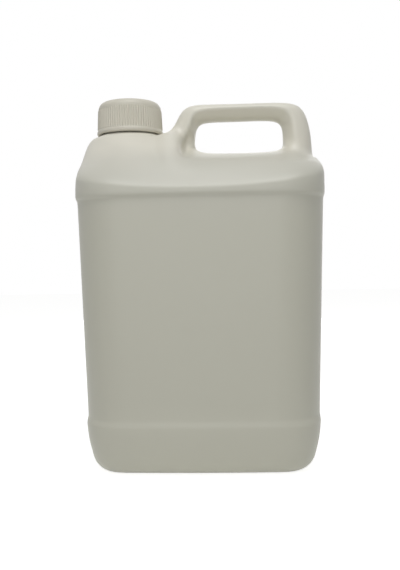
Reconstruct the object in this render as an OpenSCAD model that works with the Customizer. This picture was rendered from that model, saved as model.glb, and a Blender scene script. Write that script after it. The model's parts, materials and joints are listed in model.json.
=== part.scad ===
// Plastic jerrycan: a blow-moulded can with a hollow handle in one with it, a ribbed
// screw cap on its neck, and the sealing liner inside the cap.
// Millimetres. Origin under the middle of the base, +Z up, +X to the handle's end, front at -Y.

/* [Can] */
// Width over the shoulder band
body_w = 190; // [170:1:220]
// Depth, front to back
body_d = 136; // [120:1:150]
// Wall of the blown can
wall = 1.3; // [1:0.1:2]
// Radius of the upright corners
corner_r = 28; // [20:1:34]
// How much further in each end is at the foot than at the shoulder band
end_taper = 5.5; // [0:0.5:9]
// How much further in the front is at the foot than at the shoulder band
front_taper = 2; // [0:0.5:5]
// How far front and back fall away from their middle to the ends
front_crown = 3; // [0:0.5:6]

/* [Base and panel] */
// Height of the base band
base_h = 37.5; // [30:0.5:50]
// Radius of the bottom edge
base_r = 16; // [10:0.5:18]
// How far the base band draws in towards the bottom edge
base_lean = 3; // [1:0.1:4]
// Height of the step over the base band
base_step = 1.6; // [1:0.1:3]
// How far the base band stands out from the panel
base_proud = 0.6; // [0.3:0.1:1]
// Height of the push-up under the base
push_up = 4; // [2:0.5:6]
// Width of the foot that the can stands on
foot_w = 7; // [5:0.5:10]
// Height of the recessed panel
panel_h = 167.5; // [130:0.5:200]
// Depth of the panel under the shoulder band
panel_recess = 1.3; // [0.8:0.1:2]
// Height of the step over the panel
groove_h = 3; // [2:0.2:5]

/* [Shoulder] */
// Height of the shoulder band at the middle of the front
band_h = 7.5; // [5:0.5:12]
// Rise of the band's upper edge from the middle to the ends
eave_rise = 10.5; // [4:0.5:14]
// Height of the can's top over the band
roof_h = 32; // [28:0.5:38]
// Fall of the can's top from its middle to its rounded end
crown_h = 9.5; // [6:0.5:11]
// Radius of the rounded end of the top
end_r = 9.5; // [6:0.5:12]
// Softness of the edges between shoulder and walls
edge_soft = 7; // [4:0.5:9]
// Lean of the end beside the neck, in degrees
end_lean = 11; // [8:1:16]

/* [Neck] */
// Neck axis from the end of the can
neck_inset = 38.5; // [37:0.5:41]
// Height of the neck's seat over the can's top
seat_h = 14; // [11:0.5:18]
// Depth of the neck's seat, front to back
seat_d = 53; // [52:0.5:58]
// Radius of the seat's edge
seat_edge = 4; // [2:0.5:6]
// Bore of the neck
neck_bore_d = 36; // [32:0.5:38]
// Wall of the neck
neck_wall = 2.4; // [1.8:0.1:3]
// Height of the neck over its seat
neck_h = 24; // [21:0.5:27]
// Height of the round step under the neck
step_h = 1.2; // [0.8:0.1:1.5]
// Edge radius of the neck's lip
lip_edge = 0.6; // [0.3:0.1:0.9]

/* [Handle] */
// Length of the finger hole
hole_l = 68.5; // [60:0.5:74]
// Height of the finger hole
hole_h = 25.5; // [22:0.5:30]
// Corner radius of the finger hole
hole_r = 8; // [6:0.5:11]
// Height of the grip bar
bar_h = 14; // [12:0.5:18]
// Depth of the grip bar, front to back
bar_d = 27; // [22:0.5:32]
// Width of the leg at the can's end
leg_w = 23; // [19:0.5:26]
// Outer radius over the leg at the can's end
bend_r = 24; // [18:0.5:28]
// Outer radius over the leg beside the neck
neck_bend_r = 14.5; // [11:0.5:17]
// Set-back of the leg from the can's end
leg_inset = 6.5; // [4:0.5:9]
// Thickness of the rim round the finger hole
rim_w = 14; // [11:0.5:17]
// Distance of the gusset's flank from the finger hole
flank_in = 7; // [5:0.5:9]
// Lean of the gusset beside the neck, in degrees
gusset_lean = 26; // [20:0.5:32]
// Spread of the gusset's foot on the neck's seat
gusset_foot = 1; // [0.5:0.5:3]

/* [Cap] */
// Diameter over the bead at the cap's rim
cap_d = 52.8; // [52:0.2:55]
// Thickness of the skirt under the ribs
skirt_wall = 2.4; // [2:0.1:3]
// Thickness of the cap's top
top_wall = 2.6; // [2:0.1:3.5]
// Gap between the cap's rim and the neck's seat
rim_gap = 2.2; // [1.8:0.1:3]
// Height of the plain bead at the rim
bead_h = 3.4; // [2.6:0.2:4.4]
// How far the bead stands out from the skirt
bead_out = 1.1; // [0.8:0.1:1.4]
// Radius of the edge of the cap's top
dome_r = 8; // [5:0.5:10]
// Number of grip ribs
rib_count = 80; // [48:4:96]
// Height of a rib over the skirt
rib_out = 0.7; // [0.4:0.1:0.8]
// Thickness of the sealing liner
liner_t = 1.6; // [1:0.1:2.5]
// Clearance round the liner in the cap
liner_gap = 0.5; // [0.3:0.1:0.8]

/* [Hidden] */
$fn = 96;

half_w = body_w / 2;
half_d = body_d / 2;
over = wall;
band_z = base_h + panel_h;
eave_z = band_z + band_h;
top_z = eave_z + roof_h;
seat_z = top_z + seat_h;
neck_x = neck_inset - half_w;
neck_r = neck_bore_d / 2 + neck_wall;
lip_z = seat_z + neck_h;
// How far turret and gusset tuck under the skin that they carry on
tuck = wall / 4;
// Points along a corner, a long side and a short side of an outline
corner_steps = 4;
long_steps = 6;
short_steps = 3;
// How much an outline that is held in still gives, so that its points stay apart
give_share = 0.04;

// Lesser of two lengths, with a soft change from one to the other
function smin(a, b, k) = let (h = max(k - abs(a - b), 0) / k) min(a, b) - h * h * k / 4;
function hold(v, limit, k) = smin(v, limit, k) + give_share * max(v - limit, 0);

// Outline of a rectangle with rounded corners, of one radius at each end
function turn(a) = [cos(a), sin(a)];
function spot(q, hw, hd, r) = [(q == 0 || q == 3 ? 1 : -1) * (hw - r), (q < 2 ? 1 : -1) * (hd - r)];
function plan(hw, hd, left_r, right_r) = [
    for (q = [0:3])
        let (
            r = q == 0 || q == 3 ? right_r : left_r,
            next_r = q < 2 ? left_r : right_r,
            c = spot(q, hw, hd, r),
            start = c + r * turn(90 * q + 90),
            end = spot((q + 1) % 4, hw, hd, next_r) + next_r * turn(90 * q + 90),
            n = q % 2 == 0 ? long_steps : short_steps
        )
        each concat(
            [for (i = [0:corner_steps]) c + r * turn(90 * (q + i / corner_steps))],
            [for (i = [1:n - 1]) start + (end - start) * i / n]
        )
];

// Closed skin over a stack of outlines, each with the same number of points
module loft(rings) {
    n = len(rings[0]);
    last = len(rings) - 1;
    polyhedron(
        points = [for (ring = rings) each ring],
        faces = concat(
            [[for (i = [0:n - 1]) (i + corner_steps / 2) % n]],
            [
                for (k = [0:last - 1], i = [0:n - 1])
                    [k * n + i, k * n + n + i, k * n + (i + 1) % n]
            ],
            [
                for (k = [0:last - 1], i = [0:n - 1])
                    [k * n + n + i, k * n + n + (i + 1) % n, k * n + (i + 1) % n]
            ],
            [[for (i = [n - 1:-1:0]) last * n + (i + corner_steps / 2) % n]]
        )
    );
}

// Half depth under the roof planes. They start at the band's upper edge, which rises towards the ends,
// and lead up to the front and back edge of the neck's seat.
function fall_at(x) = front_crown * pow(x / half_w, 2);
function front_at(x) = half_d - fall_at(x);
function eave_at(x) = eave_z + eave_rise * pow(x / half_w, 2);
rise_share = (top_z - eave_at(neck_x)) / (seat_z - eave_at(neck_x));
ridge_half = half_d - (half_d - seat_d / 2) * rise_share;
function roof_half(z, x) = front_at(x) - (z - eave_at(x)) * (half_d - ridge_half) / (top_z - eave_at(x));

// Half depth and end of the crowned top at a height
round_z = top_z - crown_h;
function crown_share(z) = sqrt(max(top_z - z, 0) / crown_h);
function crown_half(z) = ridge_half * crown_share(z);
function arc_end(z) = half_w - end_r + sqrt(max(pow(end_r, 2) - pow(max(z - round_z + end_r, 0), 2), 0));
function crown_end(z) = z < round_z ? arc_end(z) : (half_w - end_r) * crown_share(z);

// The end beside the neck, which leans in over the band
lean_z = eave_z + eave_rise;
function lean_end(z) = half_w - max(z - lean_z, 0) * tan(end_lean);
// The trunk sinks further in there, under the turret
sink_share = 2;
function sunk_end(z) = half_w - sink_share * (half_w - lean_end(z));

// One outline of the trunk: the plan, rounder above the band, held in by the roof and the crown
function trunk_ring(z, set_in, skin) =
    let (
        low_share = max(1 - z / band_z, 0),
        high = max(z - eave_z, 0),
        left = sunk_end(z) - set_in - end_taper * low_share - skin,
        right = max(crown_end(z + skin), wall) - set_in - end_taper * low_share - skin,
        hd = half_d - set_in - front_taper * low_share - skin,
        r = max(corner_r - set_in - skin, wall),
        left_r = r + high * round_share * sink_share,
        right_r = r + high * round_share,
        crown = max(crown_half(z + skin) - skin, wall)
    ) [
        for (p = plan((right + left) / 2, hd, left_r, right_r))
            let (
                x = p.x + (right - left) / 2,
                roof = smin(roof_half(z, x) - skin, crown, edge_soft)
            ) [x, sign(p.y) * hold(max(abs(p.y) - fall_at(x), 0), roof, edge_soft), z]
    ];

// Heights of the trunk's outlines and how far each is set in from the shoulder band
base_in = panel_recess - base_proud;
foot_in = base_in + base_lean;
lean_h = base_h - base_step - base_r;
lean_shares = [0.35, 0.7, 1];
// How much rounder the upright corners get for each millimetre above the band
round_share = 0.45;
roof_shares = [0, 0.15, 0.3, 0.44, 0.54, 0.62, 0.68, 0.725, 0.78, 0.85, 0.92, 0.96, 0.985];
under_rows = [[push_up, foot_in + base_r + foot_w + push_up], [0, foot_in + base_r + foot_w]];
edge_rows = [for (a = [0:22.5:90]) [base_r * (1 - cos(a)), foot_in + base_r * (1 - sin(a))]];
lean_rows = [for (s = lean_shares) [base_r + s * lean_h, base_in + base_lean * pow(1 - s, 2)]];
panel_rows = [[base_h, panel_recess], [band_z, panel_recess], [band_z + groove_h, 0]];
roof_rows = [for (s = roof_shares) [eave_z + s * roof_h, 0]];
inner_rows = [[push_up + wall, foot_in + base_r / 2], [push_up + base_r, foot_in], [base_h, panel_recess]];
inner_roof_rows = [for (s = roof_shares) [eave_z + s * (roof_h - wall), 0]];

module trunk() {
    rows = concat(under_rows, edge_rows, lean_rows, panel_rows, roof_rows);
    loft([for (row = rows) trunk_ring(row[0], row[1], 0)]);
}

module trunk_space() {
    rows = concat(inner_rows, [panel_rows[1], panel_rows[2]], inner_roof_rows);
    loft([for (row = rows) trunk_ring(row[0], row[1], wall)]);
}

// Finger hole, from the leg at the can's end towards the neck
hole_x1 = half_w - leg_inset - leg_w;
hole_x0 = hole_x1 - hole_l;
hole_z1 = top_z + hole_h;
grip_z = hole_z1 + bar_h;
flank_x = hole_x0 - flank_in;

// One outline of a block under the roof planes, between two ends. It closes in by a share of its depth.
function block_half(z, x, skin) = max(smin(front_at(x), roof_half(z, x), edge_soft) - skin, wall / 2);
function block_ring(z, left, right, left_r, right_r, skin, close_share) =
    let (
        mid = (right + left) / 2,
        hw = max((right - left) / 2 - skin, wall / 2),
        hd = block_half(z, mid, skin) * (1 - close_share),
        fit = min(hw, hd) * fit_share
    ) [
        for (p = plan(hw, hd, min(left_r, fit), min(right_r, fit)))
            [p.x + mid, p.y * block_half(z, p.x + mid, skin) / block_half(z, mid, skin), z]
    ];

// Turret that carries the neck, out of the trunk up to the neck's seat
fit_share = 0.95;
turret_z = band_z + groove_h;
turret_rise_shares = [0, 0.15, 0.3, 0.6];

module turret(skin) {
    rows = concat(
        [for (s = turret_rise_shares) [turret_z + s * (seat_z - seat_edge - turret_z), 0]],
        [for (a = [0:30:90]) [seat_z - seat_edge * (1 - sin(a)), seat_edge * (1 - cos(a))]]
    );
    loft([
        for (row = rows)
            let (
                set_in = row[1] + tuck + skin,
                low_share = (seat_z - row[0]) / (seat_z - turret_z),
                left_r = seat_d / 2 + (corner_r - seat_d / 2) * low_share
            )
            block_ring(row[0] - skin, -lean_end(row[0]), flank_x, left_r, flank_in, set_in, 0)
    ]);
}

// Gusset from the neck's seat up to the grip, as deep as the roof planes leave it
lean_turn = 180 - gusset_lean;
bend_x = hole_x0 + neck_bend_r * cos(lean_turn);
bend_z = grip_z - neck_bend_r * (1 - sin(lean_turn));
gusset_rise_shares = [0.15, 0.35, 0.7, 1];
// How much of its depth the gusset has lost at its upper end
top_close_share = 0.7;

function foot_spread(z) = gusset_foot * pow(max(1 - (z - seat_z) / (2 * gusset_foot), 0), 2);
function gusset_left(z) = bend_x - (bend_z - z) * tan(gusset_lean) - foot_spread(z);

module gusset(skin) {
    low_rows = [[top_z - crown_h, 0], [(top_z + seat_z) / 2, 0], [seat_z, 0]];
    high_rows = [for (s = gusset_rise_shares) [seat_z + s * (bend_z - seat_z), top_close_share * s * s]];
    loft([
        for (row = concat(low_rows, high_rows))
            let (left = gusset_left(max(row[0], seat_z)))
            block_ring(row[0] - skin, left, flank_x, hole_r, flank_in, 2 * tuck + skin, row[1])
    ]);
}

// Ring of the handle round the finger hole: the hole's outline, and the outer outline with as many points
bend_steps = 5;
section_steps = 12;
section_share = 0.85;
function arc_points(c, r, a, b) = [for (i = [0:bend_steps]) c + r * turn(a + (b - a) * i / bend_steps)];
function soft(v) = sign(v) * pow(abs(v), section_share);

hole_line = concat(
    arc_points([hole_x1 - hole_r, top_z + hole_r], hole_r, -90, 0),
    arc_points([hole_x1 - hole_r, hole_z1 - hole_r], hole_r, 0, 90),
    arc_points([hole_x0 + hole_r, hole_z1 - hole_r], hole_r, 90, 180),
    arc_points([hole_x0 + hole_r, top_z + hole_r], hole_r, 180, 270)
);
rim_r = hole_r + rim_w;
outer_line = concat(
    arc_points([half_w - leg_inset - rim_r, round_z + hole_r], rim_r, -90, 0),
    arc_points([half_w - leg_inset - bend_r, grip_z - bend_r], bend_r, 0, 90),
    arc_points([hole_x0, grip_z - neck_bend_r], neck_bend_r, 90, lean_turn),
    arc_points([hole_x0 + hole_r, round_z + hole_r], rim_r, 180, 270)
);

function ring_section(k, skin) =
    let (
        a = hole_line[k],
        b = outer_line[k],
        across = (b - a) / norm(b - a)
    ) [
        for (j = [0:section_steps - 1])
            let (
                t = 360 * j / section_steps,
                p = a + across * (skin + (norm(b - a) - 2 * skin) * (1 - soft(cos(t))) / 2)
            ) [p[0], (bar_d / 2 - skin) * soft(sin(t)), p[1]]
    ];

module handle(skin) {
    m = section_steps;
    n = len(hole_line);
    polyhedron(
        points = [for (k = [0:n - 1]) each ring_section(k, skin)],
        faces = concat(
            [
                for (k = [0:n - 1], j = [0:m - 1])
                    [k * m + j, k * m + (j + 1) % m, (k + 1) % n * m + j]
            ],
            [
                for (k = [0:n - 1], j = [0:m - 1])
                    [k * m + (j + 1) % m, (k + 1) % n * m + (j + 1) % m, (k + 1) % n * m + j]
            ]
        )
    );
}

// Neck with its round step, solid until the bore is cut
module neck() {
    step_r = seat_d / 2 - lip_edge;
    translate([neck_x, 0, seat_z])
        rotate_extrude()
            polygon([
                [0, -over],
                [step_r, -over],
                [step_r, step_h - lip_edge],
                [step_r - lip_edge, step_h],
                [neck_r, step_h],
                [neck_r, neck_h - lip_edge],
                [neck_r - lip_edge, neck_h],
                [0, neck_h]
            ]);
}

module neck_bore() {
    translate([neck_x, 0, seat_z - 3 * wall])
        cylinder(h = neck_h + 3 * wall + over, d = neck_bore_d);
}

// The blown can: one hollow piece with neck and handle
module can_body()
    color([0.79, 0.79, 0.74])
        difference() {
            union() {
                trunk();
                turret(0);
                gusset(0);
                handle(0);
                neck();
            }
            trunk_space();
            turret(wall);
            gusset(wall);
            handle(wall);
            neck_bore();
        }

// Screw cap: skirt with a plain bead, grip ribs and a rounded top
rim_z = seat_z + rim_gap;
cap_z = lip_z + liner_t + top_wall;
cap_h = cap_z - rim_z;
skirt_r = cap_d / 2 - bead_out;
cap_bore_r = skirt_r - skirt_wall;
rib_root_r = skirt_r - rib_out / 4;
rib_tip_r = skirt_r + rib_out;
bead_edge = bead_h / 4;
rib_turn_shares = [0, 0.3, 0.55, 0.85];
rib_r = [rib_root_r, rib_tip_r, rib_tip_r, rib_root_r];

module cap_outline() {
    square([skirt_r - dome_r, cap_h]);
    square([skirt_r, cap_h - dome_r]);
    translate([skirt_r - dome_r, cap_h - dome_r])
        circle(r = dome_r);
    polygon([
        [0, 0],
        [cap_d / 2 - bead_edge, 0],
        [cap_d / 2, bead_edge],
        [cap_d / 2, bead_h - bead_edge],
        [skirt_r, bead_h + bead_out - bead_edge],
        [0, bead_h + bead_out]
    ]);
}

module ribs() {
    rib_h = cap_h - dome_r - bead_h + rib_out;
    pitch = 360 / rib_count;
    translate([0, 0, bead_h])
        intersection() {
            linear_extrude(rib_h)
                polygon([
                    for (i = [0:rib_count - 1], s = [0:3])
                        rib_r[s] * turn(pitch * (i + rib_turn_shares[s]))
                ]);
            rotate_extrude()
                polygon([
                    [0, 0],
                    [rib_tip_r, 0],
                    [rib_tip_r, rib_h - 2 * rib_out],
                    [rib_root_r - rib_out, rib_h],
                    [0, rib_h]
                ]);
        }
}

module screw_cap()
    color([0.76, 0.75, 0.7])
        translate([neck_x, 0, rim_z])
            difference() {
                union() {
                    rotate_extrude()
                        intersection() {
                            cap_outline();
                            square([cap_d, cap_h]);
                        }
                    ribs();
                }
                translate([0, 0, -over])
                    cylinder(h = cap_h - top_wall + over, r = cap_bore_r);
            }

// Sealing liner, pressed between the cap's top and the neck's lip
module cap_liner()
    color([0.93, 0.93, 0.92])
        translate([neck_x, 0, lip_z])
            cylinder(h = liner_t, r = cap_bore_r - liner_gap);

can_body();
screw_cap();
cap_liner();
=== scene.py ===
import json
import math

import bmesh
import bpy
from mathutils import Matrix, Vector


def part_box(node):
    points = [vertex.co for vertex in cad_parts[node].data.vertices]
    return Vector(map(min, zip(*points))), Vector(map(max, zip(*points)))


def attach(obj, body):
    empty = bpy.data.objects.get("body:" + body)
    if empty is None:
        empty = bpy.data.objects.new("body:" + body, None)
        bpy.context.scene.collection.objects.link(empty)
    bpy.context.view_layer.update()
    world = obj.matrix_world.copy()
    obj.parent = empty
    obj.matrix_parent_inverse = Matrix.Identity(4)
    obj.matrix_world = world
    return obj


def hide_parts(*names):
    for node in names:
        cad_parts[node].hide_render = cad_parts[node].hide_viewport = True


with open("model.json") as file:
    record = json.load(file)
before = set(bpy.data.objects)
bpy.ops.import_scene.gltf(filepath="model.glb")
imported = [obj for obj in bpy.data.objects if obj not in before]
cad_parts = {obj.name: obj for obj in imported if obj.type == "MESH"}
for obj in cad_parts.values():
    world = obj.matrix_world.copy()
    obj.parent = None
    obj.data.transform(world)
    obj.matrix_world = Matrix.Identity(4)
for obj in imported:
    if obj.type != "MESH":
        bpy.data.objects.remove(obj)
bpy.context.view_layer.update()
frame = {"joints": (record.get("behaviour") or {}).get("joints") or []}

# The can: one blown piece of natural high-density polyethylene, with its shoulder, its neck and its
# hollow handle in one with it. The tube of hot plastic was pinched shut between two mould halves,
# which left a fine parting line on the middle plane and a welded seam under the base.
MM = 0.001
can_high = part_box("can_body")[1]
half_w = can_high.x / MM
half_d = 68
grip_z = can_high.z / MM
turn_joint = next(joint for joint in frame["joints"] if joint["type"] == "hinge")
neck_x = turn_joint["pos_m"][0] / MM
wall = 1.3
corner_r = 28
least_corner_r = 4
end_taper = 5.5
front_taper = 2
front_crown = 3

# The cage is a grid over the roof, whose rim is drawn down over the walls. Each of its vertices keeps
# its column, from the neck's end to the handle's end, and its row, from front to back.
COLUMNS, ROWS, ARC = 18, 8, 2
MID_ROW = ROWS // 2
NECK_COLUMNS, NECK_ROWS = (3, 7), (2, 6)
NEAR_LEG, FAR_LEG, LEG_ROWS = (8, 10), (13, 15), (3, 5)
can = bmesh.new()
column = can.verts.layers.int.new("column")
row = can.verts.layers.int.new("row")


def number(verts):
    """Give the vertices of a new unit grid their columns and rows."""
    for v in verts:
        v[column] = round((v.co.x + 0.5) * COLUMNS)
        v[row] = round((v.co.y + 0.5) * ROWS)


def rim_point(i, j, near, far, front, corner):
    """Place on a rectangle with rounded corners and a crowned front, for a vertex on the grid's rim."""
    steps_x, steps_y = min(i, COLUMNS - i), min(j, ROWS - j)
    turn = math.radians(45) * min(max(1 + (steps_y - steps_x) / ARC, 0), 2)
    if steps_x > ARC:
        share = (i - COLUMNS / 2) / (COLUMNS / 2 - ARC)
        x = (far - near) / 2 + share * ((near + far) / 2 - corner)
    else:
        end = near if i < COLUMNS / 2 else far
        x = math.copysign(end - corner + corner * math.sin(turn), i - COLUMNS / 2)
    if steps_y > ARC:
        y = (j - MID_ROW) / (MID_ROW - ARC) * (front - corner)
    else:
        y = math.copysign(front - corner + corner * math.cos(turn), j - MID_ROW)
    crown = front_crown * (x / half_w) ** 2 if j != MID_ROW else 0
    return Vector((x, y - math.copysign(crown, y), 0))


# Rings at the shoulder band follow its upper edge: height over the edge, and set-in at the neck's end,
# at the handle's end and at the front
eave_z = 211.6
eave_rise = 5.7
eave_rings = [(5, 1.7, 0.7, 4), (0.6, 1.2, 0.5, 0.5), (-2.2, 0.9, 0.5, 0)]


def eave_at(x):
    """Height of the shoulder band's upper edge, which rises towards the ends."""
    share = (x / half_w) ** 2
    return eave_z + eave_rise * (share + share ** 2)


def set_ring(verts, height, near_in, far_in, front_in, corner, with_eave=False):
    """Put one drawn-down rim at its height, set in from the can's reach at each end and at the front."""
    near, far, front = half_w - near_in, half_w - far_in, half_d - front_in
    for v in verts:
        v.co = rim_point(v[column], v[row], near, far, front, corner)
        v.co.z = eave_at(v.co.x) + height if with_eave else height


# Rings below the band go round level, each with its height and set-in: the groove, the panel, the step
# over the base, the base's rounded edge, the foot and the edge of the push-up
groove_z = 206.2
panel_in = 1.3
base_h = 40.2
base_in = 0.6
base_lean = 3
base_r = 15.4
foot_w = 7
push_up = 4
wall_rings = [
    (groove_z + 2.2, 0),
    (groove_z + 0.8, 0.3),
    (groove_z - 0.8, panel_in - 0.2),
    (groove_z - 2.4, panel_in),
    (groove_z - 14, panel_in),
    (150, panel_in),
    (95, panel_in),
    (50, panel_in),
    (base_h + 3, panel_in),
    (base_h + 1, panel_in - 0.15),
    (base_h - 1.6, base_in + 0.1),
    (base_h - 4, base_in),
    (base_h - 15.7, base_in + 0.2 * base_lean),
]
foot_in = base_in + base_lean
EDGE_STEPS = 4
for step in range(EDGE_STEPS + 1):
    turn = math.radians(90) * step / EDGE_STEPS
    wall_rings.append((base_r * (1 - math.sin(turn)), foot_in + base_r * (1 - math.cos(turn))))
inner_foot_in = foot_in + base_r + foot_w
wall_rings.append((0, inner_foot_in))
wall_rings.append((push_up * 0.8, inner_foot_in + push_up * 0.7))

grid = bmesh.ops.create_grid(can, x_segments=COLUMNS, y_segments=ROWS, size=0.5)["verts"]
number(grid)


def draw_on(edges):
    """Extrude a rim once and return its new vertices and its new rim."""
    made = bmesh.ops.extrude_edge_only(can, edges=edges)["geom"]
    verts = [v for v in made if isinstance(v, bmesh.types.BMVert)]
    return verts, [e for e in made if isinstance(e, bmesh.types.BMEdge) and e.is_boundary]


# The panel lies deeper at the front than at the ends, and its corners are rounder than the band's
FRONT_SHARE = 1.5
END_IN, END_SHARE = 0.4, 0.45
PANEL_ROUND = 2.2
rim = [e for e in can.edges if e.is_boundary]
for height, near_in, far_in, front_in in eave_rings:
    ring, rim = draw_on(rim)
    set_ring(ring, height, near_in, far_in, front_in, corner_r, with_eave=True)
for height, set_in in wall_rings:
    ring, rim = draw_on(rim)
    low_share = max(1 - height / groove_z, 0)
    over_base = height > base_h
    end_in = (END_IN + END_SHARE * set_in if over_base else set_in) + end_taper * low_share
    front_in = set_in * (FRONT_SHARE if height > foot_in + base_r else 1) + front_taper * low_share
    corner = corner_r + PANEL_ROUND * set_in if over_base else max(corner_r - set_in, least_corner_r)
    set_ring(ring, height, end_in, end_in, front_in, corner)

# The underside closes with a grid of its own, pushed up, with the pinched seam along its middle
pinch_h = 0.9
pinch_half = 1.6
under_in = inner_foot_in + 2 * push_up
under_end, under_front = half_w - under_in - end_taper, half_d - under_in - front_taper
under = bmesh.ops.create_grid(can, x_segments=COLUMNS, y_segments=ROWS, size=0.5)["verts"]
number(under)
for v in under:
    i, j = v[column], v[row]
    v.co = Vector(((i / COLUMNS * 2 - 1) * under_end, (j / ROWS * 2 - 1) * under_front, push_up))
    if i in (0, COLUMNS) or j in (0, ROWS):
        v.co = rim_point(i, j, under_end, under_end, under_front, least_corner_r)
        v.co.z = push_up
    elif abs(j - MID_ROW) == 1:
        v.co.y = math.copysign(pinch_half, j - MID_ROW)
    elif j == MID_ROW and ARC < i < COLUMNS - ARC:
        v.co.z -= pinch_h
under_set = set(under)
under_rim = [e for e in can.edges if e.is_boundary and e.verts[0] in under_set]
bmesh.ops.bridge_loops(can, edges=rim + under_rim)

# The roof lies level at the finger hole and rises to the neck's seat at the other end. Its rows give the
# depth and height from the rim to the middle, and its columns the place along the can.
seat_z = 258.5
seat_r = 26.4
seat_drop = 1
roof_half = 40
roof_front = roof_half + 12
roof_end_near, roof_end_far = half_w - 0.6, half_w - 0.9
roof_corner_r = 27
rim_z = 232
roof_rows = [None, (roof_half, 236.4), (28, 240.4), (13.5, 243), (0, 244.2)]
hole_x0, hole_x1 = -3, 65.5
roof_columns = {11: 17, 12: 47, 13: hole_x1, 14: 77, 15: 88.5}
end_fall = {14: 1.6, 15: 4.5}
# The gusset that leads up to the handle, and the foot of the far leg: along, depth and height by column
# and row
placed = {
    (8, 1): (-25, 41, 244.5),
    (8, 2): (-25, 27, 258),
    (8, 3): (-23.5, 14.5, 262.5),
    (8, 4): (-25, 0, 262),
    (9, 1): (-16.5, 41, 243.5),
    (9, 2): (-15, 25.5, 258),
    (9, 3): (-12, 14.5, 258),
    (9, 4): (-12, 0, 258),
    (10, 1): (-10.5, 40, 236),
    (10, 2): (-10, 27, 239.6),
    (10, 3): (hole_x0 - 5.5, 14.5, 244.2),
    (10, 4): (hole_x0 - 0.4, 0, 245.4),
    (13, 3): (hole_x1 + 0.5, 14, 244),
    (13, 4): (hole_x1, 0, 246),
    (14, 3): (hole_x1 + 9, 19.5, 242.6),
    (15, 3): (87.8, 13, 239.5),
    (15, 4): (89.6, 0, 240),
}
gusset_rim = {7: -28, 8: -25, 9: -17, 10: -9}
INNER_ROW = NECK_ROWS[0]
# A subdivided ring shrinks, so the neck's rings are made larger by this share
RING_SWELL = 6 / (4 + 2 * math.cos(math.tau / 16))
SEAT_STRETCH = 0.22
NEAR_BULGE, FAR_BULGE = 10, 6


def neck_point(i, j, radius, height):
    """Place of a vertex of the neck's opening on a circle round the neck's axis."""
    turn = math.atan2(j - MID_ROW, i - sum(NECK_COLUMNS) / 2)
    around = Vector((math.cos(turn), math.sin(turn), 0)) * radius * RING_SWELL
    return Vector((neck_x + around.x, around.y, height))


def roof_rim(i, j):
    """Place on the rim of the roof's grid."""
    p = rim_point(i, j, roof_end_near, roof_end_far, roof_front, roof_corner_r)
    p.z = rim_z
    if j in (0, ROWS):
        p.x = gusset_rim.get(i, p.x)
    return p


def neck_end_point(i, j):
    """Place on the slope that rises from the rim to the neck's seat."""
    near, far = NECK_COLUMNS
    seat = neck_point(min(max(i, near), far), max(j, INNER_ROW), seat_r, seat_z - seat_drop)
    seat.x -= max(neck_x - seat.x, 0) * SEAT_STRETCH
    share_x, share_y = min(i / near, 1), min(j / INNER_ROW, 1)
    if share_x == 1:
        return roof_rim(i, 0).lerp(seat, share_y)
    bulge = Vector((-NEAR_BULGE * share_x * (1 - share_x) * share_y, 0, 0))
    if share_y == 1:
        return roof_rim(0, j).lerp(seat, share_x) + bulge
    across = roof_rim(0, j).lerp(roof_rim(near, 0).lerp(seat, share_y), share_x)
    along = roof_rim(i, 0).lerp(roof_rim(0, INNER_ROW).lerp(seat, share_x), share_y)
    low = roof_rim(0, 0).lerp(roof_rim(near, 0), share_x)
    high = roof_rim(0, INNER_ROW).lerp(seat, share_x)
    return across + along - low.lerp(high, share_y) + bulge


def roof_point(i, j):
    """Place of a vertex of the roof's grid in the front half."""
    if i in (0, COLUMNS) or j == 0:
        return roof_rim(i, j)
    if (i, j) in placed:
        x, depth, z = placed[i, j]
        return Vector((x, -depth, z))
    if i <= NECK_COLUMNS[1]:
        return neck_end_point(i, j)
    share_y = min(j / INNER_ROW, 1)
    last = FAR_LEG[1]
    if i <= last:
        depth, z = roof_rows[j]
        x = roof_rim(i, 0).x * (1 - share_y) + roof_columns[i] * share_y
        return Vector((x, -depth, z - end_fall.get(i, 0) * share_y))
    share_x = (i - last) / (COLUMNS - last)
    inner, outer = roof_point(last, j), roof_rim(COLUMNS, j)
    across = inner.lerp(outer, share_x)
    across.x += FAR_BULGE * share_x ** 3 * (1 - share_x) * share_y
    if j >= INNER_ROW:
        across.z = outer.z + (inner.z - outer.z) * (1 - share_x ** 2)
        return across
    along = roof_rim(i, 0).lerp(roof_point(i, INNER_ROW), share_y)
    low = roof_rim(last, 0).lerp(roof_rim(COLUMNS, 0), share_x)
    high = roof_point(last, INNER_ROW).lerp(roof_rim(COLUMNS, INNER_ROW), share_x)
    return across + along - low.lerp(high, share_y)


for v in grid:
    i, j = v[column], v[row]
    v.co = roof_point(i, min(j, ROWS - j))
    if j > MID_ROW:
        v.co.y *= -1


def opening(columns, rows):
    """Cut a block of faces out of the roof and return the edges round the opening."""
    block = set()
    for v in grid:
        if v.is_valid and columns[0] <= v[column] <= columns[1] and rows[0] <= v[row] <= rows[1]:
            block.add(v)
    faces = {f for f in can.faces if block.issuperset(f.verts)}
    edges = [e for e in can.edges if sum(f in faces for f in e.link_faces) == 1]
    bmesh.ops.delete(can, geom=list(faces), context="FACES")
    return edges


neck_rim = opening(NECK_COLUMNS, NECK_ROWS)
near_rim = opening(NEAR_LEG, LEG_ROWS)
far_rim = opening(FAR_LEG, LEG_ROWS)

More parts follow.
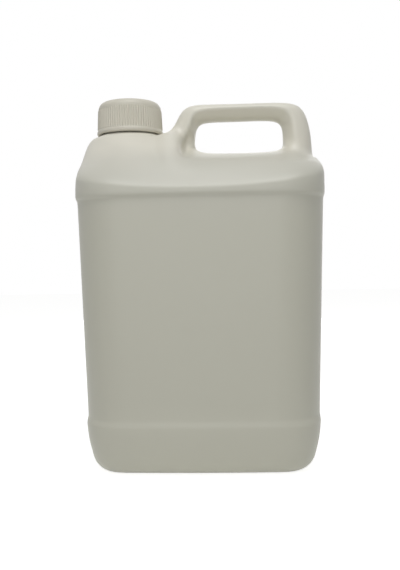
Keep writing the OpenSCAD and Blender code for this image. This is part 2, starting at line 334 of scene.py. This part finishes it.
# The neck: a round step, a straight wall for the thread, and a rounded lip round the open mouth
neck_r = 20.4
lip_z = 282.5
step_z = seat_z + 1.2
neck_z0, neck_z1 = step_z + 1.8, lip_z - 1.2
NECK_STEPS = 10
neck_rings = [
    (seat_r - 0.6, seat_z),
    (seat_r - 1.5, step_z),
    (neck_r + 1.4, step_z + 0.1),
    (neck_r, step_z + 0.8),
]
for step in range(NECK_STEPS + 1):
    neck_rings.append((neck_r, neck_z0 + (neck_z1 - neck_z0) * step / NECK_STEPS))
neck_rings += [(neck_r - 0.3, lip_z - 0.3), (neck_r - 0.9, lip_z)]
for radius, height in neck_rings:
    ring, neck_rim = draw_on(neck_rim)
    for v in ring:
        v.co = neck_point(v[column], v[row], radius, height)

# The handle: a hollow grip drawn from the gusset round the finger hole to the far leg. Each section runs
# from the hole's edge to the outer edge, with its half depth and the share of its width at its ridge.
grip_sections = [
    ((hole_x0 - 0.4, 256.5), (-20, 270), 15.5, 0.28),
    ((hole_x0 + 0.5, 264), (-15.6, 279.8), 15, 0.38),
    ((hole_x0 + 4, 268.4), (-8, grip_z + 0.2), 15, 0.5),
    ((hole_x0 + 12, 269.4), (5, grip_z + 0.2), 15, 0.6),
    ((28, 269.2), (28, grip_z), 15, 0.62),
    ((50, 269.6), (54, grip_z + 0.1), 15, 0.62),
    ((60, 268.8), (74.5, grip_z), 15, 0.55),
    ((64.4, 265.2), (83.6, 279), 15, 0.44),
    ((65, 258), (88, 266), 15.4, 0.38),
    ((65, 251.5), (89.9, 253), 17, 0.36),
]
CORNER_ACROSS = 0.14
BEVEL_DEPTH, BACK_DEPTH = 0.58, 0.8
RIDGE_CREASE = 0.5
hole_column, back_column = NEAR_LEG[1], NEAR_LEG[0]
on_ridge = set()
for inner, outer, depth, ridge in grip_sections:
    ring, near_rim = draw_on(near_rim)
    for v in ring:
        side = v[row] - MID_ROW
        if v[column] == hole_column:
            across, deep = CORNER_ACROSS * abs(side), BEVEL_DEPTH
        elif v[column] == back_column:
            across, deep = 1 - CORNER_ACROSS * abs(side), BACK_DEPTH
        else:
            across, deep = ridge, 1
            on_ridge.add(v)
        p = Vector(inner).lerp(Vector(outer), across)
        v.co = (p.x, depth * deep * side, p.y)
bmesh.ops.bridge_loops(can, edges=near_rim + far_rim)
crease = can.edges.layers.float.new("crease_edge")
for e in can.edges:
    if on_ridge.issuperset(e.verts):
        e[crease] = RIDGE_CREASE
bmesh.ops.recalc_face_normals(can, faces=can.faces)
if can.calc_volume(signed=True) < 0:
    bmesh.ops.reverse_faces(can, faces=can.faces)
bmesh.ops.scale(can, vec=Vector((MM, MM, MM)), verts=can.verts)


def new_piece(name, bm):
    """A piece of the object from a bmesh, smooth all over."""
    mesh = bpy.data.meshes.new(name)
    bm.to_mesh(mesh)
    bm.free()
    mesh.shade_smooth()
    piece = bpy.data.objects.new(name, mesh)
    bpy.context.scene.collection.objects.link(piece)
    return piece


cage = new_piece("can_cage", can)
smooth = cage.modifiers.new("Blown skin", "SUBSURF")
smooth.levels = smooth.render_levels = 2
skin_mesh = bpy.data.meshes.new_from_object(cage.evaluated_get(bpy.context.evaluated_depsgraph_get()))
bpy.data.objects.remove(cage)
skin = bmesh.new()
skin.from_mesh(skin_mesh)

# The thread stands on the neck's wall, a right-hand ridge of two and a half turns
PITCH = 4
THREAD_TURNS = 2.5
THREAD_FOOT, THREAD_CREST = 2.6, 1
RUN_OUT = 1 / 6
thread_z = 267.4
thread_out = 1.7
NECK_SLACK = 0.5


def thread_height(turn, z, first_z):
    """Share of the thread's height at an angle and a height on the wall that carries it."""
    off = (z - first_z - PITCH * turn / math.tau + PITCH / 2) % PITCH - PITCH / 2
    along = (z - off - first_z) / PITCH
    flank = min(max((THREAD_FOOT / 2 - abs(off)) / (THREAD_FOOT / 2 - THREAD_CREST / 2), 0), 1)
    return flank * min(max(min(along, THREAD_TURNS - along) / RUN_OUT, 0), 1)


for v in skin.verts:
    p = Vector((v.co.x / MM - neck_x, v.co.y / MM))
    z = v.co.z / MM
    if abs(p.length - neck_r) < NECK_SLACK and step_z + 1 < z < lip_z - 1:
        p *= 1 + thread_out * thread_height(math.atan2(p.y, p.x), z, thread_z) / neck_r
        v.co.x, v.co.y = (p.x + neck_x) * MM, p.y * MM

# The foot of the gusset's flank is drawn in along the near leg, on both sides of the can
FLANK_HEAD, FLANK_FOOT = Vector((-7.8, 257)), Vector((-10.2, 240.5))
FLANK_NEAR, FLANK_FAR = 9, 40
drawn_in, draw_reach = 5.8, 3
fade_start, fade_run = 0.15, 0.7
flank_run = FLANK_FOOT - FLANK_HEAD
skin.normal_update()
for v in skin.verts:
    p = Vector((v.co.x, v.co.z)) / MM - FLANK_HEAD
    along = min(max(p.dot(flank_run) / flank_run.length_squared, 0), 1)
    away = (p - flank_run * along).length
    if away < 4 * draw_reach and FLANK_NEAR < abs(v.co.y) / MM < FLANK_FAR:
        fade = math.sin(math.pi * (fade_start + fade_run * along))
        v.co -= v.normal * drawn_in * fade * math.exp(-(away / draw_reach) ** 2) * MM

can_body = new_piece("blown_can", skin)
shell = can_body.modifiers.new("Wall", "SOLIDIFY")
shell.thickness = wall * MM
shell.offset = -1


def linear(code):
    """Linear colour from an sRGB hex code."""
    shares = [int(code[k:k + 2], 16) / 255 for k in (0, 2, 4)]
    return [s / 12.92 if s <= 0.04045 else ((s + 0.055) / 1.055) ** 2.4 for s in shares] + [1]


def add(tree, kind, inputs=None, **settings):
    """Add a node with its settings, its values and its links."""
    node = tree.nodes.new(kind)
    for name, value in settings.items():
        setattr(node, name, value)
    for socket, value in (inputs or {}).items():
        if isinstance(value, bpy.types.NodeSocket):
            tree.links.new(value, node.inputs[socket])
        else:
            node.inputs[socket].default_value = value
    return node


# Natural polyethylene from a blasted mould: satin and faintly warm. Its colour is painted lighter by
# height:
# a little at the foot for the floor's bounced light, and most round the neck and in the handle for a
# painted glow of the light that shines through the thin plastic. The mould's grain and the parting line
# are drawn coarser than they are.
cloud_mm, grain_mm = 55, 1.1
grain_deep_mm = 0.03
parting_half_mm, parting_high_mm = 0.6, 0.2
cloud_share = 0.08
# Painted light by height: a little lighter at the foot for the floor's bounce, darker on the panel, and
# lighter towards the top for the painted glow through the handle and neck
painted_light_tones = [
    (0, "CAC9BB"),
    (60, "C6C5B7"),
    (195, "C8C7B9"),
    (230, "CAC9BD"),
    (246, "D3D1C5"),
    (258, "E2DFD2"),
    (284, "E5E2D5"),
]
natural_hdpe = bpy.data.materials.new("natural_hdpe_blown")
natural_hdpe.use_nodes = True
tree = natural_hdpe.node_tree
tree.nodes.clear()
place = add(tree, "ShaderNodeTexCoord").outputs["Object"]
cloud = add(tree, "ShaderNodeTexNoise", {"Vector": place, "Scale": 1 / (cloud_mm * MM), "Detail": 2})
axes = add(tree, "ShaderNodeSeparateXYZ", {"Vector": place})
# The height picks the painted light from the tones below, and the cloud noise shifts it a little at random
rise = add(tree, "ShaderNodeMapRange", {"Value": axes.outputs["Z"], "From Max": grip_z * MM})
drift = add(tree, "ShaderNodeMath", {
    0: cloud.outputs["Fac"],
    1: cloud_share,
    2: rise.outputs["Result"],
}, operation="MULTIPLY_ADD")
tone = add(tree, "ShaderNodeValToRGB", {"Fac": drift.outputs["Value"]})
ramp = tone.color_ramp
while len(ramp.elements) < len(painted_light_tones):
    ramp.elements.new(1)
for stop, (z, code) in zip(ramp.elements, painted_light_tones):
    stop.position = z / grip_z * (1 - cloud_share / 2) + cloud_share / 2
    stop.color = linear(code)
sheen = add(tree, "ShaderNodeMapRange", {"Value": cloud.outputs["Fac"], "To Min": 0.36, "To Max": 0.44})
grain = add(tree, "ShaderNodeTexNoise", {"Vector": place, "Scale": 1 / (grain_mm * MM), "Detail": 3})
blasted = add(tree, "ShaderNodeBump", {
    "Height": grain.outputs["Fac"],
    "Strength": 0.25,
    "Distance": grain_deep_mm * MM,
})
off_middle = add(tree, "ShaderNodeMath", {0: axes.outputs["Y"]}, operation="ABSOLUTE")
parting = add(tree, "ShaderNodeMapRange", {
    "Value": off_middle.outputs["Value"],
    "From Max": parting_half_mm * MM,
    "To Min": 1,
    "To Max": 0,
})
parted = add(tree, "ShaderNodeBump", {
    "Height": parting.outputs["Result"],
    "Distance": parting_high_mm * MM,
    "Normal": blasted.outputs["Normal"],
})
plastic = add(tree, "ShaderNodeBsdfPrincipled", {
    "Base Color": tone.outputs["Color"],
    "Roughness": sheen.outputs["Result"],
    "IOR": 1.53,
    "Normal": parted.outputs["Normal"],
})
add(tree, "ShaderNodeOutputMaterial", {"Surface": plastic.outputs["BSDF"]})
can_body.data.materials.append(natural_hdpe)
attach(can_body, "can")
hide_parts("can_body")

# The screw cap: one piece of polypropylene, injection-moulded, with a domed edge, a ribbed skirt over a
# plain bead, and a thread inside that screws onto the neck's. The gate left a small sunken mark in the
# middle of the top.
cap_low, cap_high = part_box("screw_cap")
liner_low, liner_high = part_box("cap_liner")
cap_r = (cap_high.x - cap_low.x) / 2 / MM
cap_z0, cap_z1 = cap_low.z / MM, cap_high.z / MM
inside_z = liner_high.z / MM
skirt_r = cap_r - 0.6
bore_r = cap_r - 3.5
dome_r = 6
draft = 0.7
gate_deep = 0.5
RIBS, RIB_STEPS = 80, 6
rib_out = 0.38
rib_z0, rib_z1 = cap_z0 + 3.6, cap_z1 - dome_r
rib_fade_low, rib_fade_high = 1.2, 1.4
cap_thread_in = 1.6
cap_slack, bore_slack = 0.1, 0.01
DOME_STEPS, WALL_STEPS = 8, 36
outline = [
    (0, cap_z1 - gate_deep),
    (1.3, cap_z1 - gate_deep),
    (1.7, cap_z1 - 0.1),
    (2.2, cap_z1),
    (8, cap_z1 - 0.02),
]
for step in range(DOME_STEPS + 1):
    turn = math.radians(90) * step / DOME_STEPS
    dome_in, dome_down = dome_r * (1 - math.sin(turn)), dome_r * (1 - math.cos(turn))
    outline.append((skirt_r - draft - dome_in, cap_z1 - dome_down))
for z in [rib_z1, rib_z1 - 0.7, rib_z1 - rib_fade_high, rib_z0 + rib_fade_low, rib_z0 + 0.6, rib_z0]:
    outline.append((skirt_r - draft * (z - rib_z0) / (rib_z1 - rib_z0), z))
outline += [
    (skirt_r + 0.1, cap_z0 + 3.2),
    (cap_r - 0.3, cap_z0 + 2.9),
    (cap_r, cap_z0 + 2.4),
    (cap_r, cap_z0 + 0.6),
    (cap_r - 0.5, cap_z0),
    (bore_r + 0.7, cap_z0),
    (bore_r + 0.2, cap_z0 + 0.5),
]
for step in range(WALL_STEPS + 1):
    outline.append((bore_r, cap_z0 + 1.2 + (inside_z - cap_z0 - 2) * step / WALL_STEPS))
outline += [(bore_r - 0.6, inside_z), (bore_r * 0.5, inside_z), (0, inside_z)]


def spun(outline, steps):
    """A bmesh of an outline of (radius, height) turned once round the neck's axis."""
    bm = bmesh.new()
    verts = [bm.verts.new((neck_x + r, 0, z)) for r, z in outline]
    edges = [bm.edges.new(pair) for pair in zip(verts, verts[1:])]
    bmesh.ops.spin(
        bm,
        geom=verts + edges,
        cent=(neck_x, 0, 0),
        axis=(0, 0, 1),
        angle=math.tau,
        steps=steps,
        use_merge=True,
    )
    bmesh.ops.remove_doubles(bm, verts=bm.verts, dist=0.001)
    bmesh.ops.recalc_face_normals(bm, faces=bm.faces)
    return bm


cap = spun(outline, RIBS * RIB_STEPS)
for v in cap.verts:
    p = Vector((v.co.x - neck_x, v.co.y))
    turn = math.atan2(p.y, p.x)
    if p.length > skirt_r - draft - cap_slack and rib_z0 + cap_slack < v.co.z < rib_z1 - cap_slack:
        fade = min((v.co.z - rib_z0) / rib_fade_low, (rib_z1 - v.co.z) / rib_fade_high, 1)
        p *= 1 + rib_out * fade * math.cos(RIBS * turn) / skirt_r
    elif abs(p.length - bore_r) < bore_slack:
        p *= 1 - cap_thread_in * thread_height(turn, v.co.z, thread_z + PITCH / 2) / bore_r
    v.co.x, v.co.y = p.x + neck_x, p.y
bmesh.ops.scale(cap, vec=Vector((MM, MM, MM)), verts=cap.verts)
screw_cap = new_piece("moulded_cap", cap)


def plain_plastic(name, code, roughness):
    """A plain plastic with a fine grain all over, drawn coarser than it is so that it shows."""
    grain_mm, grain_deep_mm = 0.8, 0.02
    material = bpy.data.materials.new(name)
    material.use_nodes = True
    tree = material.node_tree
    tree.nodes.clear()
    place = add(tree, "ShaderNodeTexCoord").outputs["Object"]
    grain = add(tree, "ShaderNodeTexNoise", {"Vector": place, "Scale": 1 / (grain_mm * MM), "Detail": 2})
    relief = add(tree, "ShaderNodeBump", {
        "Height": grain.outputs["Fac"],
        "Strength": 0.2,
        "Distance": grain_deep_mm * MM,
    })
    plastic = add(tree, "ShaderNodeBsdfPrincipled", {
        "Base Color": linear(code),
        "Roughness": roughness,
        "IOR": 1.49,
        "Normal": relief.outputs["Normal"],
    })
    add(tree, "ShaderNodeOutputMaterial", {"Surface": plastic.outputs["BSDF"]})
    return material


# Natural polypropylene from a plain steel mould: a little warmer and more matt than the can
screw_cap.data.materials.append(plain_plastic("natural_polypropylene", "D5D1C3", 0.48))
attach(screw_cap, "cap")
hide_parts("screw_cap")

# The liner: a loose disc of white foam, stamped from sheet and pressed into the cap's top, with the ring
# that the neck's lip left in it.
neck_wall = 2.2
liner_r = (liner_high.x - liner_low.x) / 2 / MM
liner_z0, liner_z1 = liner_low.z / MM, liner_high.z / MM
lip_inner_r = neck_r - neck_wall
bulge = 0.2
LINER_STEPS = 96
outline = [
    (0, liner_z0 - bulge),
    (lip_inner_r - 1, liner_z0 - bulge),
    (lip_inner_r - 0.4, liner_z0),
    (neck_r + 0.3, liner_z0),
    (neck_r + 0.8, liner_z0 - bulge),
    (liner_r - 0.3, liner_z0 - bulge),
    (liner_r, liner_z0 + 0.2),
    (liner_r, liner_z1 - 0.3),
    (liner_r - 0.3, liner_z1),
    (0, liner_z1),
]
liner = spun(outline, LINER_STEPS)
bmesh.ops.scale(liner, vec=Vector((MM, MM, MM)), verts=liner.verts)
cap_liner = new_piece("foam_liner", liner)
# White polyethylene foam, cut from sheet: dull, with no shine
cap_liner.data.materials.append(plain_plastic("white_foam", "EEECE4", 0.8))
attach(cap_liner, "liner")
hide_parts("cap_liner")

# The camera stands a little over half a metre in front of the can and just above its middle, and is
# turned and tipped by a few degrees.
focal_px = 707.3
image_h = 570
eye_x, eye_z, eye_distance = -0.0024, 0.1595, 0.5731
yaw, pitch, roll = math.radians(2.77), math.radians(2.01), math.radians(-1.06)
camera_data = bpy.data.cameras.new("camera")
camera_data.sensor_width = 36
camera_data.lens = focal_px * camera_data.sensor_width / image_h
camera = bpy.data.objects.new("camera", camera_data)
bpy.context.scene.collection.objects.link(camera)
turned = Matrix.Rotation(yaw, 4, "Z")
tipped = Matrix.Rotation(math.radians(90) - pitch, 4, "X")
eye = turned @ Vector((eye_x, -eye_distance, eye_z))
camera.matrix_world = Matrix.Translation(eye) @ turned @ tipped @ Matrix.Rotation(roll, 4, "Z")
bpy.context.scene.camera = camera

# The stage: a pale floor that keeps the shadow, lamps over, before and behind the can, and a white
# surround. Floor and surround show white, and send less light than that to the can.
floor_seen = 0.78
surround_light, surround_seen = 0.22, 1
bpy.context.scene.view_settings.view_transform = "Standard"
bpy.ops.mesh.primitive_plane_add(size=6)
floor = bpy.context.object
floor.name = "floor"
pale = bpy.data.materials.new("pale_floor")
pale.use_nodes = True
tree = pale.node_tree
tree.nodes.clear()


def level_in_sight(tree, unseen, seen):
    """A strength for the rays that see the background itself, and another for those that carry light."""
    rays = add(tree, "ShaderNodeLightPath").outputs
    sight = rays["Is Camera Ray"]
    for kind in ("Is Glossy Ray", "Is Transmission Ray"):
        either = add(tree, "ShaderNodeMath", {0: sight, 1: rays[kind]}, operation="MAXIMUM")
        sight = either.outputs["Value"]
    level = add(tree, "ShaderNodeMapRange", {"Value": sight, "To Min": unseen, "To Max": seen})
    return level.outputs["Result"]


chalk = add(tree, "ShaderNodeBsdfDiffuse", {"Color": linear("F4F4F2")})
white = add(tree, "ShaderNodeEmission", {
    "Color": linear("FFFFFF"),
    "Strength": level_in_sight(tree, 0, floor_seen),
})
both = add(tree, "ShaderNodeAddShader", {0: chalk.outputs["BSDF"], 1: white.outputs["Emission"]})
add(tree, "ShaderNodeOutputMaterial", {"Surface": both.outputs["Shader"]})
floor.data.materials.append(pale)


def softbox(name, place, aim, size, power):
    """A square lamp at a place, turned to a point."""
    lamp = bpy.data.lights.new(name, "AREA")
    lamp.size = size
    lamp.energy = power
    lit = bpy.data.objects.new(name, lamp)
    bpy.context.scene.collection.objects.link(lit)
    lit.location = place
    lit.rotation_euler = (Vector(aim) - Vector(place)).to_track_quat("-Z", "Y").to_euler()


softbox("top_box", (0, -0.34, 1), (0, 0, 0.2), 0.45, 3.3)
softbox("front_box", (-0.1, -1.25, 0.35), (0, 0, 0.1), 1, 3.7)
softbox("back_box", (0.1, 1.25, 0.35), (0, 0, 0.1), 1, 3.2)

world = bpy.context.scene.world or bpy.data.worlds.new("world")
bpy.context.scene.world = world
world.use_nodes = True
tree = world.node_tree
tree.nodes.clear()
surround = add(tree, "ShaderNodeBackground", {
    "Color": linear("FFFFFF"),
    "Strength": level_in_sight(tree, surround_light, surround_seen),
})
add(tree, "ShaderNodeOutputWorld", {"Surface": surround.outputs["Background"]})
